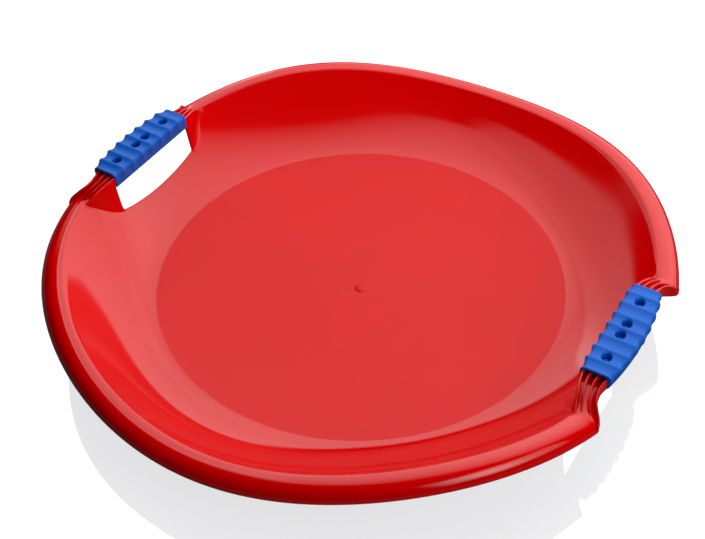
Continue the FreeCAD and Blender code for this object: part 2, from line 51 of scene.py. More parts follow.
# Dish
WALL = 3.0
BASE_RADIUS = 60.0
FLOOR_RADIUS = 196.0
FLOOR_RISE = 12.3
RIM_RADIUS = 293.8
RIM_HEIGHT = 69.9
LIP_ROLL = 13.8  # radius of the lip's outer roll
LIP_INNER = 23.4  # radius of the lip's inner flank
LIP_DROP = 10.9
WAVES = 4
WAVE_RISE = 7.0
CREASE_SLOPE = math.radians(20)  # slope of the lip where it meets the wall
CREASE_ROUND = 1.5
CREASE_FADE = math.radians(6)  # next to a bar, the crease's round grows over this angle
SWING_FADE = math.radians(9)  # and the lip's rows swing round over this one
TOP_SLOPE = math.radians(50)  # steepest slope of the wall at the crease
EDGE_BULGE = 0.8  # of a closed edge, as a share of half its thickness
NUB_RADIUS = 6.0
NUB_HEIGHT = 2.0
NUB_SPREAD = 1.15
NUB_SUNK = 0.3

# Carrying bars; lines give a place or a height for each y
HANDLE_HALF = 92.0
HOLE_HALF = 56.7
FIN_WALL = 2.4
WEB_TOP = 73.3
WEB_WALL = 2.7
WEB_DROP_FROM = math.radians(-25)  # the bar's floor drops from this slope of the lip outwards
WEB_DROP_RANGE = math.radians(50)
START_RUN = 3.0  # length in which the bar's floor leaves the lip's crease
UNDER_RUN = 6.0  # length in which its underside leaves the lip's
CHEEK_LEAN = 0.15
LEAN_HALF = 66.0  # the cheek leans fully up to here, and stands upright at the bar's end
CHEEK_BLEND = 7.0
CHEEK_BLEND_SHARE = 0.45  # of the height that is free below the bar, at most
IN_LINE = [
    (0.0, 246.5), (50.0, 246.5), (56.7, 246.6), (62.0, 247.3), (68.0, 248.7),
    (75.0, 250.8), (82.0, 252.7), (87.0, 254.1), (90.0, 255.6), (92.0, 257.1),
]
OUT_LINE = [
    (56.7, 269.0), (62.0, 268.2), (67.0, 268.0), (73.0, 269.0), (77.5, 270.8),
    (82.0, 273.8), (85.4, 276.5), (87.6, 278.0), (89.5, 278.7), (92.0, 278.7),
]
INNER_TOP = [
    (0.0, 81.0), (50.0, 80.8), (57.0, 80.0), (71.0, 77.4), (79.0, 74.6),
    (84.5, 71.4), (88.0, 69.0), (90.5, 67.5), (92.0, 66.7),
]
OUTER_TOP = [
    (0.0, 81.0), (50.0, 80.8), (57.0, 80.0), (67.0, 77.4),
    (79.0, 73.3), (86.0, 68.2), (91.0, 64.0), (95.0, 60.0),
]

# Outer fins
FIN_SHARES = (0.29, 0.63, 1.0)  # places across the bar, from the innermost fin
FIN_START, FIN_END = 44.0, 95.0
FIN_PROBE = 0.5  # half the length over which a fin's direction is taken
FIN_END_SLOPE = -0.33  # direction of a fin past the bar's end
FIN_TURN_IN = 0.5  # how far it moves inwards there per millimetre
FIN_RUN_OUT = 1.5  # and how far its top drops
FIN_SUNK = 3.0
FIN_ABOVE_SKIRT = 0.5
FIN_LEAST = 1.5
FIN_FLARE = 0.15  # added to half the thickness at the foot
FIN_TAPER = 0.25  # taken from half the thickness at the top

# Grips
GRIP_INNER = 245.0
GRIP_OUTER = 278.0
GRIP_HALF = 56.5
GRIP_TOP = 85.3
GRIP_BOTTOM = 68.3
PARTING = 71.5
ROOF_UNDER = 82.3
GRIP_WALL = 2.5
INNER_WALL = 1.2
GRIP_CLEARANCE = 0.2  # between a grip's outer wall and the bar
GRIP_ROUND = 3.4
INSIDE_ROUND_LESS = 1.6
END_ROUND = 1.2
END_SOFT = 2.0  # the edges along a grip are rounder by this at its ends
END_SOFT_FROM, END_SOFT_RANGE = 47.0, 9.0
GRIP_SWELL = 1.4
CREST_RISE = 0.6
RIDGE_PITCH = 14.6
RIDGE_DEPTH = 2.2
RIDGE_SIDE_SHARE = 0.85
RIDGE_SOFTENING = (-1.2, -0.6, 0, 0.6, 1.2)
RIDGE_FADE = 7.0  # height over which the ridges run out above the parting
TRAY_STEP = 1.0
TRAY_END_ROUND = 1.0
TRAY_INNER_ROUND = 2.0
TRAY_OUTER_ROUND = 5.0
TRAY_WALL = 2.4
TRAY_FLOOR = 2.1

# Posts of a grip's lower half in bosses of the upper half; outlines are (radius, height)
POST_X = 259.6
POST_PITCHES = (-2.5, -0.5, 0.5, 2.5)
HOLE_RADIUS = 4.35
HOLE_FLOOR = 77.2
HEAD_TOP = 79.4
BORE_RADIUS = 3.0
BOSS_WALL = 1.6
BOSS_RADIUS = HOLE_RADIUS + BOSS_WALL
BOSS_LOW = 73.5
BOSS_HIGH = ROOF_UNDER + 0.3
HOLE_FLARE = [(0.0, 82.9), (0.12, 83.35), (0.45, 83.85), (1.1, 84.5), (2.4, GRIP_TOP + 0.5)]
HOLE_CUT = [(HOLE_RADIUS, ROOF_UNDER - 1.0)] + [(HOLE_RADIUS + more, z) for more, z in HOLE_FLARE]
BOSS_LOOP = [
    (BORE_RADIUS, BOSS_LOW), (BOSS_RADIUS, BOSS_LOW), (BOSS_RADIUS, BOSS_HIGH),
    (HOLE_RADIUS, BOSS_HIGH), (HOLE_RADIUS, HOLE_FLOOR), (BORE_RADIUS, HOLE_FLOOR),
]
POST = [
    (2.9, GRIP_BOTTOM + 1.0), (2.9, 71.0), (2.3, 72.0), (2.3, HOLE_FLOOR + 0.1),
    (3.3, HOLE_FLOOR + 0.1), (3.2, HOLE_FLOOR + 0.7), (2.2, HEAD_TOP - 0.2), (1.9, HEAD_TOP),
]

# How finely the pieces are divided
FLAT_RINGS = 4
FLOOR_ROWS = 14
WALL_ROWS = 26
LIP_ROWS = 20
ROUND_ROWS = 5
EDGE_ROWS = 3
CHEEK_ROWS = 8
BLEND_ROWS = ROUND_ROWS + CHEEK_ROWS - 1
FIN_ROWS = 4
TOP_ROWS = 5
HOLE_COLUMNS = 13
CHEEK_COLUMNS = 25
RIM_STEP = math.radians(1.25)
FIN_STATIONS = 34
NUB_SIDES, NUB_ROWS = 32, 8
GRIP_STATIONS, GRIP_END_ROWS = 149, 6
SIDE_ROWS, TURN_ROWS, ROOF_ROWS = 9, 11, 14
TRAY_STATIONS, TRAY_END_ROWS, TRAY_TURN_ROWS = 49, 5, 9
LATHE_SIDES = 48
DISH_WELD, FINE_WELD = 0.02, 0.005
DISH_SHARP, FIN_SHARP, GRIP_SHARP = 38.0, 50.0, 40.0  # degrees
HALVINGS = 40
SEARCH_STEP = math.radians(0.2)
SEARCH_MARGIN = 0.05
TINY = 0.01  # keeps rows apart


# Curves and searches


def curve_at(points, at):
    """Smooth curve through (position, value) points."""
    if at <= points[0][0]:
        return points[0][1]
    if at >= points[-1][0]:
        return points[-1][1]
    count = len(points)
    slopes = []
    for i in range(count):
        a = points[max(i - 1, 0)]
        b = points[min(i + 1, count - 1)]
        slopes.append((b[1] - a[1]) / (b[0] - a[0]))
    for i in range(count - 1):
        a, b = points[i], points[i + 1]
        if at <= b[0]:
            span = b[0] - a[0]
            t = (at - a[0]) / span
            h = t * t * (3 - 2 * t)
            bend = t * (1 - t) ** 2 * slopes[i] * span - t * t * (1 - t) * slopes[i + 1] * span
            return a[1] + h * (b[1] - a[1]) + bend


def ease(t):
    t = min(max(t, 0.0), 1.0)
    return t * t * (3 - 2 * t)


def mix(a, b, t):
    return a + (b - a) * t


def spread(count, first, last):
    return [mix(first, last, i / (count - 1)) for i in range(count)]


def half_turn(count):
    """(cosine, sine) of angles strictly between 0 and 180 degrees."""
    angles = [math.pi * i / (count + 1) for i in range(1, count + 1)]
    return [(math.cos(t), math.sin(t)) for t in angles]


def quarter_turn(count):
    """(cosine, sine) of angles from 0 to 90 degrees."""
    angles = [math.pi / 2 * i / (count - 1) for i in range(count)]
    return [(math.cos(t), math.sin(t)) for t in angles]


def circle_x(radius, y):
    """x at this y on a circle round the middle of the dish."""
    return math.sqrt(radius**2 - y * y)


def polar(radius, azimuth, height):
    return Vector((radius * math.cos(azimuth), radius * math.sin(azimuth), height))


def last_true(test, low, high):
    """Where a test that holds at low stops to hold on the way to high."""
    for _ in range(HALVINGS):
        middle = (low + high) / 2
        if test(middle):
            low = middle
        else:
            high = middle
    return low


def meeting(a, a_slope, b, b_slope):
    """Point where the tangents at two points of a section meet."""
    dx, dz = b[0] - a[0], b[1] - a[1]
    turn = math.sin(b_slope - a_slope)
    reach = (dx * math.sin(b_slope) - dz * math.cos(b_slope)) / turn
    return a[0] + reach * math.cos(a_slope), a[1] + reach * math.sin(a_slope)


def bent(a, corner, b, count):
    """Points strictly between a and b on the curve that a corner is rounded to."""
    out = []
    for i in range(1, count + 1):
        t = i / (count + 1)
        out.append(a * (1 - t) ** 2 + corner * (2 * t * (1 - t)) + b * t * t)
    return out


def round_end(a, b, outward):
    """Points strictly between a and b on the half ellipse that closes an edge."""
    middle = (a + b) / 2
    half = (a - b) / 2
    reach = outward.normalized() * half.length * EDGE_BULGE
    return [middle + half * c + reach * s for c, s in half_turn(EDGE_ROWS)]


# Dish


class Profile:
    """Section of the dish at one azimuth as (radius, height).

    Depth runs from the upper face into the wall.
    """

    floor_slope = 2 * math.atan(FLOOR_RISE / (FLOOR_RADIUS - BASE_RADIUS))
    floor_arc = (FLOOR_RADIUS - BASE_RADIUS) / math.sin(floor_slope)
    lip_end = -math.acos(1 - LIP_DROP / LIP_ROLL)

    def __init__(self, azimuth):
        rise = -WAVE_RISE * math.cos(WAVES * azimuth)
        self.crown = (RIM_RADIUS - LIP_ROLL, RIM_HEIGHT + rise)
        self.foot = (FLOOR_RADIUS, WALL + FLOOR_RISE)
        self.crease = self.on_lip(0, CREASE_SLOPE)
        run = self.crease[0] - FLOOR_RADIUS
        climb = self.crease[1] - self.foot[1]
        self.top_slope = min(2 * math.atan2(climb, run) - self.floor_slope, TOP_SLOPE)
        self.wall_arc = run / (math.sin(self.top_slope) - math.sin(self.floor_slope))
        self.knee = meeting(self.foot, self.floor_slope, self.crease, self.top_slope)
        self.below = math.dist(self.foot, self.knee)
        self.beyond = math.dist(self.knee, self.crease)

    def on_lip(self, depth, slope):
        roll = LIP_INNER if slope > 0 else LIP_ROLL
        radius = roll - depth
        r = self.crown[0] - radius * math.sin(slope)
        return (r, self.crown[1] - roll + radius * math.cos(slope))

    def on_wall(self, depth, slope):
        """Point with this slope on the curve from foot to crease that bends towards the knee."""
        before = self.below * math.sin(slope - self.floor_slope)
        t = before / (before + self.beyond * math.sin(self.top_slope - slope))
        weights = ((1 - t) ** 2, 2 * t * (1 - t), t * t)
        corners = (self.foot, self.knee, self.crease)
        r, z = (sum(w * p[i] for w, p in zip(weights, corners)) for i in (0, 1))
        return (r + depth * math.sin(slope), z - depth * math.cos(slope))

    def on_floor(self, depth, slope):
        radius = self.floor_arc + depth
        r = BASE_RADIUS + radius * math.sin(slope)
        return (r, WALL + self.floor_arc - radius * math.cos(slope))

    def crossing(self, depth):
        """(slope on the wall, slope on the lip) where the two meet."""
        if depth == 0:
            return self.top_slope, CREASE_SLOPE
        centre = (self.crown[0], self.crown[1] - LIP_INNER)

        def under_lip(slope):
            return math.dist(self.on_wall(depth, slope), centre) < LIP_INNER - depth

        high = self.top_slope
        low = high - SEARCH_STEP
        while not under_lip(low):
            high, low = low, low - SEARCH_STEP
        slope = last_true(under_lip, low, high)
        r, z = self.on_wall(depth, slope)
        return slope, math.atan2(centre[0] - r, z - centre[1])


def skin_to(profile, azimuth, depth, end_slope):
    """Points from next to the middle of the dish out to this slope on the wall."""
    base = 0.0 if depth else WALL
    rows = [(BASE_RADIUS * i / FLAT_RINGS, base) for i in range(1, FLAT_RINGS)]
    for slope in spread(FLOOR_ROWS, 0, profile.floor_slope)[:-1]:
        rows.append(profile.on_floor(depth, slope))
    for slope in spread(WALL_ROWS, profile.floor_slope, end_slope):
        rows.append(profile.on_wall(depth, slope))
    return [polar(r, azimuth, z) for r, z in rows]


def lip_angles(profile, depth):
    return spread(LIP_ROWS, profile.crossing(depth)[1], profile.lip_end)


def cheek_x(y, z):
    """Inner face of the innermost fin and its cheek."""
    drop = max(WEB_TOP - WEB_WALL - z, 0.0)
    lean = 1 - ease((y - LEAN_HALF) / (HANDLE_HALF - LEAN_HALF))
    return curve_at(IN_LINE, y) - CHEEK_LEAN * lean * drop


def out_x(y):
    """Outer face of the bar."""
    if y < HOLE_HALF:
        return circle_x(GRIP_OUTER - GRIP_WALL - GRIP_CLEARANCE, y)
    return curve_at(OUT_LINE, y)


def web_height(angle):
    """Height in the grip of the row of the bar's floor that leaves the lip at this slope."""
    return WEB_TOP - WEB_WALL * ease((WEB_DROP_FROM - angle) / WEB_DROP_RANGE)


JOIN = math.asin(HANDLE_HALF / Profile(0).on_lip(0, CREASE_SLOPE)[0])


def join_section(depth):
    """Section of the lip at y = HANDLE_HALF: rows of (x, z)."""
    rows = []
    for angle in lip_angles(Profile(JOIN), depth):
        x = circle_x(Profile(JOIN).on_lip(depth, angle)[0], HANDLE_HALF)
        rows.append((x, Profile(math.atan2(HANDLE_HALF, x)).on_lip(depth, angle)[1]))
    return rows


JOIN_UPPER = join_section(0)
JOIN_UNDER = join_section(WALL)
JOIN_ANGLES = lip_angles(Profile(JOIN), 0)


def bar_floor(y):
    """Upper and under rows of the bar's floor and skirt at y, from the innermost fin outwards."""
    share = ease((HANDLE_HALF - y) / (HANDLE_HALF - HOLE_HALF))
    first, last = JOIN_UPPER[0][0], JOIN_UPPER[-1][0]
    start = cheek_x(y, WEB_TOP) + FIN_WALL
    start = mix(first, start, min(1.0, (HANDLE_HALF - y) / START_RUN))
    end = out_x(y)
    upper = []
    for (x, z), angle in zip(JOIN_UPPER, JOIN_ANGLES):
        across = (x - first) / (last - first)
        upper.append(Vector((mix(start, end, across), y, mix(z, web_height(angle), share))))
    under = []
    for i, (point, (x, z)) in enumerate(zip(upper, JOIN_UNDER)):
        a = upper[max(i - 1, 0)]
        b = upper[min(i + 1, len(upper) - 1)]
        along = (b - a).normalized()
        inward = Vector((along.z, 0, -along.x))
        offset = point + inward * mix(WALL, WEB_WALL, share)
        lip_share = max(0.0, 1 - (HANDLE_HALF - y) / UNDER_RUN)
        under.append(offset.lerp(Vector((x, y, z)), lip_share))
    return upper, under


def foot_slope(azimuth, depth, shift):
    """Slope on the wall where it meets the cheek, or the edge of the hand hole."""
    profile = Profile(azimuth)

    def before_cheek(slope):
        r, z = profile.on_wall(depth, slope)
        return r * math.cos(azimuth) < cheek_x(r * math.sin(azimuth), z) + shift

    return last_true(before_cheek, profile.floor_slope, profile.crossing(depth)[0])


def direction_of(y):
    """Direction in which the foot of the cheek lies at this y."""

    def before(azimuth):
        r = Profile(azimuth).on_wall(0, foot_slope(azimuth, 0, 0.0))[0]
        return r * math.sin(azimuth) < y

    return last_true(before, 0.0, JOIN + SEARCH_MARGIN)


def fin_wall_rows(y, low, high):
    """Rows up the inner face of the innermost fin, over its round top and down its outer face."""
    top = curve_at(INNER_TOP, y)
    half = FIN_WALL / 2
    inner_end = max(top - half, low + TINY)
    outer_start = max(top - half, high + TINY)
    inner = [Vector((cheek_x(y, z), y, z)) for z in spread(FIN_ROWS, low, inner_end)]
    crest = Vector((cheek_x(y, top - half) + half, y, inner_end))
    over = [crest + Vector((-half * c, 0, half * s)) for c, s in half_turn(TOP_ROWS)]
    outer_heights = spread(FIN_ROWS, outer_start, high)
    outer = [Vector((cheek_x(y, z) + FIN_WALL, y, z)) for z in outer_heights]
    return inner + over + outer


def bar_rows(y, low, high, web, web_under):
    """Rows round the bar: innermost fin, floor and skirt, and back along the underside."""
    skirt = round_end(web[-1], web_under[-1], Vector((0, 0, -1)))
    return fin_wall_rows(y, low, high) + web[1:] + skirt + web_under[:0:-1]


def hole_column(y):
    """Column through the hand hole: the dish up to the hole's edge, and the bar in the grip."""
    azimuth = direction_of(y)
    profile = Profile(azimuth)
    upper = skin_to(profile, azimuth, 0, foot_slope(azimuth, 0, 0.0))
    under = skin_to(profile, azimuth, WALL, foot_slope(azimuth, WALL, 0.0))
    edge = round_end(upper[-1], under[-1], upper[-1] - upper[-2])
    bar = bar_rows(y, WEB_TOP - WEB_WALL, WEB_TOP, *bar_floor(y))
    return upper, edge, under, bar


def cheek_column(y):
    """Column through a cheek: wall, cheek, bar, and the back of the cheek and the wall."""
    azimuth = direction_of(y)
    profile = Profile(azimuth)
    slope = foot_slope(azimuth, 0, 0.0)
    r, z = profile.on_wall(0, slope)
    foot = polar(r, azimuth, z)
    web, web_under = bar_floor(y)
    low = web_under[0].z
    blend = min(CHEEK_BLEND, CHEEK_BLEND_SHARE * max(low - foot.z, 0.0))
    upper = skin_to(profile, azimuth, 0, slope - blend / profile.wall_arc)
    start = Vector((cheek_x(y, foot.z + blend), y, foot.z + blend))
    fillet = bent(upper[-1], foot, start, ROUND_ROWS)
    top = max(low, start.z + TINY)
    cheek = [Vector((cheek_x(y, h), y, h)) for h in spread(CHEEK_ROWS, start.z, top)[:-1]]
    bar = bar_rows(y, top, web[0].z, web, web_under)
    under = skin_to(profile, azimuth, WALL, foot_slope(azimuth, WALL, FIN_WALL))
    head, tail = web_under[0], under[-1]
    back = [head.lerp(tail, t) for t in spread(BLEND_ROWS + 1, 0, 1)[1:-1]]
    for point in back:
        point.y = mix(y, tail.y, (head.z - point.z) / max(head.z - tail.z, TINY))
    return upper, fillet + cheek, bar, [head] + back, under


def rim_column(azimuth):
    """Column through the rim, with as many rows as a column through a cheek."""
    profile = Profile(azimuth)
    wall, lip = profile.crossing(0)
    fade = ease((azimuth - JOIN) / CREASE_FADE)
    wall_end = wall - CREASE_ROUND * fade / profile.wall_arc
    lip_start = lip - CREASE_ROUND * fade / LIP_INNER
    upper = skin_to(profile, azimuth, 0, wall_end)
    wall_point = profile.on_wall(0, wall_end)
    lip_point = profile.on_lip(0, lip_start)
    r, z = meeting(wall_point, wall_end, lip_point, lip_start)
    corner = polar(r, azimuth, z)
    # Next to a bar the lip's rows swing round to end square to the bar
    swing = 1 - ease((azimuth - JOIN) / SWING_FADE)

    def place(depth, angle):
        r, z = profile.on_lip(depth, angle)
        turn = azimuth
        if swing > 0:
            turn = azimuth + (math.asin(HANDLE_HALF / r) - JOIN) * swing
            z = Profile(turn).on_lip(depth, angle)[1]
        return polar(r, turn, z)

    lip_rows = [place(0, angle) for angle in spread(LIP_ROWS, lip_start, profile.lip_end)]
    fillet = bent(upper[-1], corner, lip_rows[0], BLEND_ROWS)
    under_rows = [place(WALL, angle) for angle in lip_angles(profile, WALL)]
    skirt = round_end(lip_rows[-1], under_rows[-1], Vector((0, 0, -1)))
    under = skin_to(profile, azimuth, WALL, profile.crossing(WALL)[0])
    no_fin = [lip_rows[0].copy() for _ in range(2 * FIN_ROWS + TOP_ROWS)]
    bar = no_fin + lip_rows[1:] + skirt + under_rows[:0:-1]
    back = [under_rows[0].copy() for _ in range(BLEND_ROWS)]
    return upper, fillet, bar, back, under


def quarter():
    """Vertices and faces of the quarter of the dish at +X +Y."""
    verts, faces = [], []

    def put(points):
        start = len(verts)
        verts.extend(points)
        return list(range(start, start + len(points)))

    def band(a, b, closed=False):
        count = len(a)
        for i in range(count if closed else count - 1):
            j = (i + 1) % count
            faces.append((a[i], a[j], b[j], b[i]))

    centre = put([Vector((0, 0, WALL)), Vector((0, 0, 0))])

    def hub(a, b):
        """Closes the middle of the dish between two columns, above and below."""
        faces.append((centre[0], a[0], b[0]))
        faces.append((a[-1], centre[1], b[-1]))

    last_dish, last_bar = None, None
    for y in spread(HOLE_COLUMNS, 0, HOLE_HALF):
        upper, hole_edge, under, bar = hole_column(y)
        dish_loop, bar_loop = put(upper + hole_edge + under[::-1]), put(bar)
        if last_dish:
            band(last_dish, dish_loop)
            hub(last_dish, dish_loop)
            band(last_bar, bar_loop, closed=True)
        last_dish, last_bar = dish_loop, bar_loop

    columns = [cheek_column(y) for y in spread(CHEEK_COLUMNS, HOLE_HALF, HANDLE_HALF)[:-1]]
    count = int(round((math.pi / 2 - JOIN) / RIM_STEP))
    columns += [rim_column(azimuth) for azimuth in spread(count + 1, JOIN, math.pi / 2)]
    last = None
    for column in columns:
        upper, cheek, bar, back, under = [put(part) for part in column]
        loop = upper + cheek + bar + back + under[::-1]
        if last:
            band(last, loop)
            hub(last, loop)
        else:
            # The end of the cheek, from the edge of the hand hole up to the bar
            edge = put(hole_edge)
            ring = [upper[-1]] + cheek + [bar[0]] + back + [under[-1]] + edge[::-1]
            faces.append(tuple(ring[::-1]))
        last = loop
    return verts, faces


def all_quarters(verts, faces):
    out_verts, out_faces = [], []
    for sx in (1, -1):
        for sy in (1, -1):
            start = len(out_verts)
            out_verts += [Vector((v.x * sx, v.y * sy, v.z)) for v in verts]
            for face in faces:
                ids = [start + i for i in face]
                out_faces.append(tuple(ids if sx * sy > 0 else ids[::-1]))
    return out_verts, out_faces


# Fins, nub, grips and posts as vertices and faces


def lofted(sections):
    """Vertices, rings of their numbers, and the faces from each closed ring to the next."""
    verts, rings, faces = [], [], []
    for section in sections:
        rings.append(list(range(len(verts), len(verts) + len(section))))
        verts += section
    for a, b in zip(rings, rings[1:]):
        for i in range(len(a)):
            j = (i + 1) % len(a)
            faces.append((a[i], a[j], b[j], b[i]))
    return verts, rings, faces


def closed_loft(sections):
    verts, rings, faces = lofted(sections)
    faces += [tuple(rings[0][::-1]), tuple(rings[-1])]
    return verts, faces


def fin_solid(share):
    """An outer fin of a quarter, from inside the grip to where it runs out on the lip."""
    base, tip = FIN_WALL / 2 + FIN_FLARE, FIN_WALL / 2 - FIN_TAPER

    def middle(at):
        at = min(at, HANDLE_HALF)
        inmost = cheek_x(at, WEB_TOP) + FIN_WALL / 2
        return mix(inmost, out_x(at) - FIN_WALL / 2 - FIN_FLARE, share)

    sections = []
    for y in spread(FIN_STATIONS, FIN_START, FIN_END):
        past = max(y - HANDLE_HALF, 0.0)
        x = middle(y) - FIN_TURN_IN * past
        slope = FIN_END_SLOPE
        if y < HANDLE_HALF:
            slope = middle(y + FIN_PROBE) - middle(y - FIN_PROBE)
        side = Vector((1, -slope, 0)).normalized()
        top = mix(curve_at(INNER_TOP, y), curve_at(OUTER_TOP, y), share) - FIN_RUN_OUT * past
        floor = bar_floor(min(y, HANDLE_HALF))[0]
        bottom = min(floor[LIP_ROWS // 2].z - FIN_SUNK, top - FIN_SUNK)
        bottom = max(bottom, floor[-1].z + FIN_ABOVE_SKIRT)
        top = max(top, bottom + FIN_LEAST)
        section = [(-base, bottom), (-tip, top - tip)]
        section += [(-tip * c, top - tip + tip * s) for c, s in half_turn(TOP_ROWS)]
        section += [(tip, top - tip), (base, bottom)]
        sections.append([Vector((x, y, z)) + side * across for across, z in section])
    return closed_loft(sections)


def nub_solid():
    ball = (NUB_RADIUS**2 + NUB_HEIGHT**2) / (2 * NUB_HEIGHT)
    verts, faces = [Vector((0, 0, WALL + NUB_HEIGHT))], []
    for i in range(1, NUB_ROWS + 1):
        r = NUB_RADIUS * NUB_SPREAD * i / NUB_ROWS
        z = WALL + NUB_HEIGHT - ball + math.sqrt(max(ball**2 - r**2, 0))
        z = max(z, WALL - NUB_SUNK)
        verts += [polar(r, 2 * math.pi * k / NUB_SIDES, z) for k in range(NUB_SIDES)]
    for k in range(NUB_SIDES):
        faces.append((0, 1 + k, 1 + (k + 1) % NUB_SIDES))
    for i in range(NUB_ROWS - 1):
        for k in range(NUB_SIDES):
            a, b = 1 + i * NUB_SIDES + k, 1 + i * NUB_SIDES + (k + 1) % NUB_SIDES
            faces.append((a, a + NUB_SIDES, b + NUB_SIDES, b))
    faces.append(tuple(range(1 + (NUB_ROWS - 1) * NUB_SIDES, len(verts)))[::-1])
    return verts, faces


def ridge(y):
    """How far a grip's surface lies below its crests: round valleys, soft at the crests."""
    radius = ((RIDGE_PITCH / 2) ** 2 + RIDGE_DEPTH**2) / (2 * RIDGE_DEPTH)

    def bare(at):
        off = (at / RIDGE_PITCH) % 1.0 - 0.5
        return math.sqrt(radius**2 - (off * RIDGE_PITCH) ** 2) - (radius - RIDGE_DEPTH)

    return sum(bare(y + shift) for shift in RIDGE_SOFTENING) / len(RIDGE_SOFTENING)


def grip_stations(end, end_rows, count):
    """(y, inset) of a grip's sections: evenly spread, and drawn in at the rounded ends."""
    ends = [(GRIP_HALF - end * (1 - s), end * (1 - c)) for c, s in quarter_turn(end_rows)]
    between = [(y, 0.0) for y in spread(count, -GRIP_HALF + end, GRIP_HALF - end)]
    return [(-y, inset) for y, inset in ends[:0:-1]] + between + ends[1:]


def grip_section(y, left, right, top, turn, low=None):
    """Rows round a grip's section: up the inner side, over the top and down the outer side.

    Where low gives the two sides' places at the parting, the ridges run out towards them.
    """
    turns = quarter_turn(TURN_ROWS)
    rows = [(left, z) for z in spread(SIDE_ROWS, PARTING, top - turn)[:-1]]
    rows += [(left + turn * (1 - c), top - turn + turn * s) for c, s in turns]
    rows += [(x, top) for x in spread(ROOF_ROWS, left + turn, right - turn)[1:-1]]
    rows += [(right - turn + turn * s, top - turn + turn * c) for c, s in turns]
    rows += [(right, z) for z in spread(SIDE_ROWS, top - turn, PARTING)[1:]]
    points = [Vector((x, y, z)) for x, z in rows]
    if low:
        for point in points:
            if point.z < PARTING + RIDGE_FADE:
                edge = low[0] if point.x < (left + right) / 2 else low[1]
                point.x = mix(edge, point.x, ease((point.z - PARTING) / RIDGE_FADE))
    return points


def tray_side(y):
    return circle_x(GRIP_OUTER - TRAY_STEP, y)


def grip_shell():
    """Upper half of a grip: a ridged shell that is open below."""
    sections = []
    for y, inset in grip_stations(END_ROUND, GRIP_END_ROWS, GRIP_STATIONS):
        depth = ridge(y) + inset
        side_depth = RIDGE_SIDE_SHARE * ridge(y) + inset
        soft = ease((abs(y) - END_SOFT_FROM) / END_SOFT_RANGE)
        turn = mix(GRIP_ROUND, GRIP_ROUND + END_SOFT, soft)
        outside = grip_section(
            y, GRIP_INNER - GRIP_SWELL + side_depth,
            circle_x(GRIP_OUTER + GRIP_SWELL, y) - side_depth,
            GRIP_TOP + CREST_RISE - depth, turn,
            (GRIP_INNER + inset, tray_side(y) - inset),
        )
        inside = grip_section(
            y, GRIP_INNER + INNER_WALL, circle_x(GRIP_OUTER - GRIP_WALL, y),
            ROOF_UNDER, turn - INSIDE_ROUND_LESS,
        )
        sections.append(outside + inside[::-1])
    verts, rings, faces = lofted(sections)
    for ring, flip in ((rings[0], True), (rings[-1], False)):
        for i in range(len(ring) // 2 - 1):
            face = (ring[i], ring[i + 1], ring[-2 - i], ring[-1 - i])
            faces.append(face[::-1] if flip else face)
    return verts, faces


def grip_tray():
    """Lower half of a grip: a shallow tray with a round outer edge."""
    turns = quarter_turn(TRAY_TURN_ROWS)
    sections = []
    for y, inset in grip_stations(TRAY_END_ROUND, TRAY_END_ROWS, TRAY_STATIONS):
        left, right, low = GRIP_INNER + inset, tray_side(y) - inset, GRIP_BOTTOM + inset
        section = [(left, PARTING)]
        for c, s in turns:
            section.append((left + TRAY_INNER_ROUND * (1 - c), low + TRAY_INNER_ROUND * (1 - s)))
        for c, s in turns:
            section.append((right - TRAY_OUTER_ROUND * (1 - s), PARTING - (PARTING - low) * c))
        section += [
            (right - TRAY_WALL, PARTING), (right - TRAY_WALL, low + TRAY_FLOOR),
            (left + TRAY_WALL, low + TRAY_FLOOR), (left + TRAY_WALL, PARTING),
        ]
        sections.append([Vector((x, y, z)) for x, z in section])
    return closed_loft(sections)


def lathe(profile, place):
    """Surface of revolution about a vertical line: profile as (radius, height)."""
    verts, faces = [], []
    for r, z in profile:
        for k in range(LATHE_SIDES):
            turn = 2 * math.pi * k / LATHE_SIDES
            x, y = place[0] + r * math.cos(turn), place[1] + r * math.sin(turn)
            verts.append(Vector((x, y, z)))
    for i in range(len(profile) - 1):
        for k in range(LATHE_SIDES):
            a, b = i * LATHE_SIDES + k, i * LATHE_SIDES + (k + 1) % LATHE_SIDES
            faces.append((a, b, b + LATHE_SIDES, a + LATHE_SIDES))
    return verts, faces


def capped(profile, place):
    """Solid of revolution, closed flat below and above; its profile runs upwards."""
    verts, faces = lathe(profile, place)
    faces.append(tuple(range(LATHE_SIDES))[::-1])
    faces.append(tuple(range(len(verts) - LATHE_SIDES, len(verts))))
    return verts, faces


def ring_solid(profile, place):
    """Solid of revolution whose profile is a closed loop."""
    verts, faces = lathe(profile, place)
    last = len(verts) - LATHE_SIDES
    for k in range(LATHE_SIDES):
        after = (k + 1) % LATHE_SIDES
        faces.append((last + k, last + after, after, k))
    return verts, faces


def merge(parts):
    verts, faces = [], []
    for part_verts, part_faces in parts:
        start = len(verts)
        verts += part_verts
        faces += [tuple(start + i for i in face) for face in part_faces]
    return verts, faces


def side_copy(verts, faces, side):
    if side > 0:
        return verts, faces
    return [Vector((-v.x, v.y, v.z)) for v in verts], [face[::-1] for face in faces]


# Pieces


def add_object(name, data):
    obj = bpy.data.objects.new(name, data)
    bpy.context.scene.collection.objects.link(obj)
    return obj


def shade(obj, sharp):
    obj.data.shade_smooth()
    obj.data.set_sharp_from_angle(angle=math.radians(sharp))


